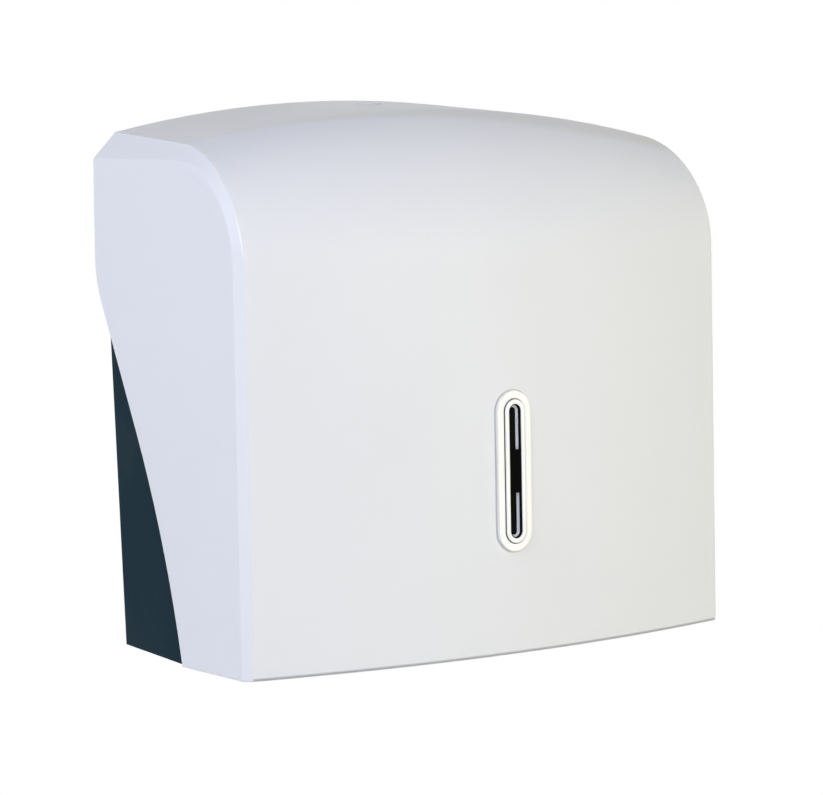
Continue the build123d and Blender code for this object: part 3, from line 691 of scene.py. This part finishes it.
def makeScrew(kind, sizes):
    rim = sizes["rim"] if kind["sunk"] else kind["headDepth"]
    bpy.ops.object.select_all(action="DESELECT")
    bpy.ops.mesh.primitive_cylinder_add(vertices=sizes["corners"], radius=kind["head"], depth=rim,
                                        location=(0, 0, -rim / 2))
    piece = bpy.context.object
    bpy.ops.object.transform_apply(location=True, rotation=True, scale=True)
    startEdit(piece)
    cutCross(piece, kind, sizes)
    root = kind["shank"] * sizes["rootShare"]
    pickFaces(piece, lambda middle, normal: normal.z < -reach["facing"])
    if kind["sunk"]:
        extrudeBy(rim - kind["headDepth"])
        growBy(root / kind["head"])
    else:
        bpy.ops.mesh.inset(thickness=kind["head"] - root)
    cutThread(kind, sizes)
    pickEdges(piece, lambda point: (point.z > -reach["height"]
                                    and math.hypot(point.x, point.y) > 0.99 * kind["head"]))
    bpy.ops.mesh.bevel(offset=kind["round"], segments=kind["roundSteps"], affect="EDGES")
    finishEdit(piece, sizes["smooth"])
    return piece


def placeScrews(name, kind, seats, sizes):
    model = makeScrew(kind, sizes)
    for count, (place, facing) in enumerate(seats):
        piece = model.copy()
        piece.data = model.data.copy()
        bpy.context.scene.collection.objects.link(piece)
        turn = Matrix.Rotation(math.radians(sizes["firstTurn"] + sizes["nextTurn"] * count), 4, "Z")
        piece.matrix_world = (Matrix.Translation(Vector(place))
                              @ facing.to_track_quat("Z", "Y").to_matrix().to_4x4() @ turn)
        settle(piece, name + str(count + 1), kind["body"], kind["node"],
               materials["plated_steel"])
    bpy.data.objects.remove(model, do_unlink=True)


for name, kind in screwKinds.items():
    placeScrews(name, kind, screwSeats[name], screwSizes)
print("screws modelled")


# camera, floor and lamps

cameraView = {
    "azimuth": -36.3176, "elevation": 5.3971, "roll": -0.4844,  # degrees
    "distance": 1.65062, "lens": 148.25, "aim": (-0.00692, -0.070, -0.02749),
}


def makeCamera(values):
    data = bpy.data.cameras.new("camera")
    data.lens = values["lens"]
    data.clip_start = 0.05
    camera = bpy.data.objects.new("camera", data)
    bpy.context.scene.collection.objects.link(camera)
    turn = (Matrix.Rotation(math.radians(values["azimuth"]), 4, "Z")
            @ Matrix.Rotation(math.radians(90 - values["elevation"]), 4, "X")
            @ Matrix.Rotation(math.radians(values["roll"]), 4, "Z"))
    back = turn.to_3x3() @ Vector((0, 0, 1))
    camera.matrix_world = Matrix.Translation(Vector(values["aim"]) + back * values["distance"]) @ turn
    bpy.context.scene.camera = camera


makeCamera(cameraView)

studio = {
    "floorDrop": 0.50, "floorSize": 12.0, "floorColour": (0.86, 0.86, 0.86),
    "worldColour": (0.92, 0.95, 1.0), "worldStrength": 0.07, "lampDistance": 2.4,
}
lamps = {
    "keyHigh": {"azimuth": -70, "elevation": 40, "size": 1.8,
                "power": 28.5, "colour": (0.875, 0.895, 1.0)},
    "frontSoft": {"azimuth": -32, "elevation": 28, "size": 1.2,
                  "power": 16.5, "colour": (0.65, 0.715, 1.0)},
    "fillLeft": {"azimuth": -100, "elevation": 5, "size": 1.8,
                 "power": 15.0, "colour": (0.905, 0.93, 1.0)},
    "fillRight": {"azimuth": 30, "elevation": 2, "size": 1.8,
                  "power": 32.0, "colour": (1.0, 0.955, 0.75)},
    "backSoft": {"azimuth": 160, "elevation": -5, "size": 1.8,
                 "power": 15.0, "colour": (0.95, 0.97, 1.0)},
}


def seenDirectly(tree):
    # 1 for what the camera, a reflection or glass sees, 0 for what only lights
    rays = addNode(tree, "ShaderNodeLightPath")
    seen = mathNode(tree, "MAXIMUM", rays.outputs["Is Camera Ray"], rays.outputs["Is Transmission Ray"])
    return mathNode(tree, "MAXIMUM", seen, rays.outputs["Is Glossy Ray"])


def makeWorld(values):
    world = bpy.data.worlds.new("studio")
    world.use_nodes = True
    tree = world.node_tree
    tree.nodes.clear()
    white = fill(addNode(tree, "ShaderNodeBackground"), Color=(1, 1, 1, 1), Strength=1.0)
    soft = fill(addNode(tree, "ShaderNodeBackground"), Color=(*values["worldColour"], 1),
                Strength=values["worldStrength"])
    mix = addNode(tree, "ShaderNodeMixShader")
    out = addNode(tree, "ShaderNodeOutputWorld")
    tree.links.new(seenDirectly(tree), mix.inputs[0])
    tree.links.new(soft.outputs[0], mix.inputs[1])
    tree.links.new(white.outputs[0], mix.inputs[2])
    tree.links.new(mix.outputs[0], out.inputs["Surface"])
    bpy.context.scene.world = world


def makeFloor(values):
    bpy.ops.mesh.primitive_plane_add(size=values["floorSize"],
                                     location=(0, 0, cadBox[0].z - values["floorDrop"]))
    floor = bpy.context.object
    floor.name = "floor"
    material = bpy.data.materials.new("floor")
    material.use_nodes = True
    tree = material.node_tree
    shader = fill(tree.nodes["Principled BSDF"], Base_Color=(*values["floorColour"], 1), Roughness=0.9)
    glow = fill(addNode(tree, "ShaderNodeEmission"), Color=(1, 1, 1, 1), Strength=1.0)
    clear = addNode(tree, "ShaderNodeBsdfTransparent")
    below = addNode(tree, "ShaderNodeNewGeometry")
    lit = addNode(tree, "ShaderNodeMixShader")
    whole = addNode(tree, "ShaderNodeMixShader")
    tree.links.new(seenDirectly(tree), lit.inputs[0])
    tree.links.new(shader.outputs[0], lit.inputs[1])
    tree.links.new(glow.outputs[0], lit.inputs[2])
    tree.links.new(below.outputs["Backfacing"], whole.inputs[0])
    tree.links.new(lit.outputs[0], whole.inputs[1])
    tree.links.new(clear.outputs[0], whole.inputs[2])
    tree.links.new(whole.outputs[0], tree.nodes["Material Output"].inputs["Surface"])
    floor.data.materials.append(material)


def makeLamp(name, values):
    data = bpy.data.lights.new(name, "AREA")
    data.shape = "DISK"
    data.size = values["size"]
    data.energy = values["power"]
    data.color = values["colour"]
    lamp = bpy.data.objects.new(name, data)
    bpy.context.scene.collection.objects.link(lamp)
    azimuth, elevation = math.radians(values["azimuth"]), math.radians(values["elevation"])
    back = Vector((math.sin(azimuth) * math.cos(elevation), -math.cos(azimuth) * math.cos(elevation),
                   math.sin(elevation)))
    centre = (cadBox[0] + cadBox[1]) / 2
    lamp.matrix_world = (Matrix.Translation(centre + back * studio["lampDistance"])
                         @ back.to_track_quat("Z", "Y").to_matrix().to_4x4())
    lamp.visible_camera = False


makeWorld(studio)
makeFloor(studio)
for name, values in lamps.items():
    makeLamp(name, values)

settings = bpy.context.scene.view_settings
settings.view_transform = "Standard"
print("camera, floor and", len(lamps), "lamps in place")
